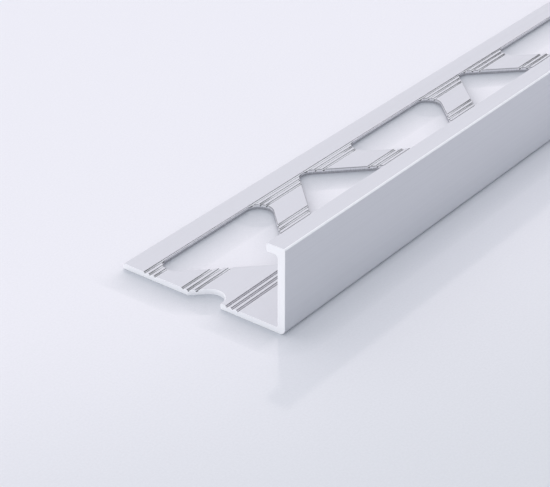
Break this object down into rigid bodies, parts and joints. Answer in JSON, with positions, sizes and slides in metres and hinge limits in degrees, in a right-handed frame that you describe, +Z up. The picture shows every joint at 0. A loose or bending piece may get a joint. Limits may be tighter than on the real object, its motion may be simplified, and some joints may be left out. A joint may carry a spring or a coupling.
{
  "type": "tile edge trim",
  "caption": "Square edge trim for tiled floors and walls: a thin punched leg that lies under the tile, a wall along its edge and a short lip at its face.",
  "frame": {"origin": "under the middle of the trim, on the plane that its leg lies on", "axes": "+X along the trim away from the cut end seen first, +Y across it from the wall to the tip of the leg, +Z up from the leg to the lip"},
  "size_m": [1, 0.027, 0.0125],
  "materials": {
    "edge_trim": "matt satin anodised, square sawn ends"
  },
  "bodies": {
    "root": {"edge_trim": "edge_trim"}
  },
  "joints": []
}
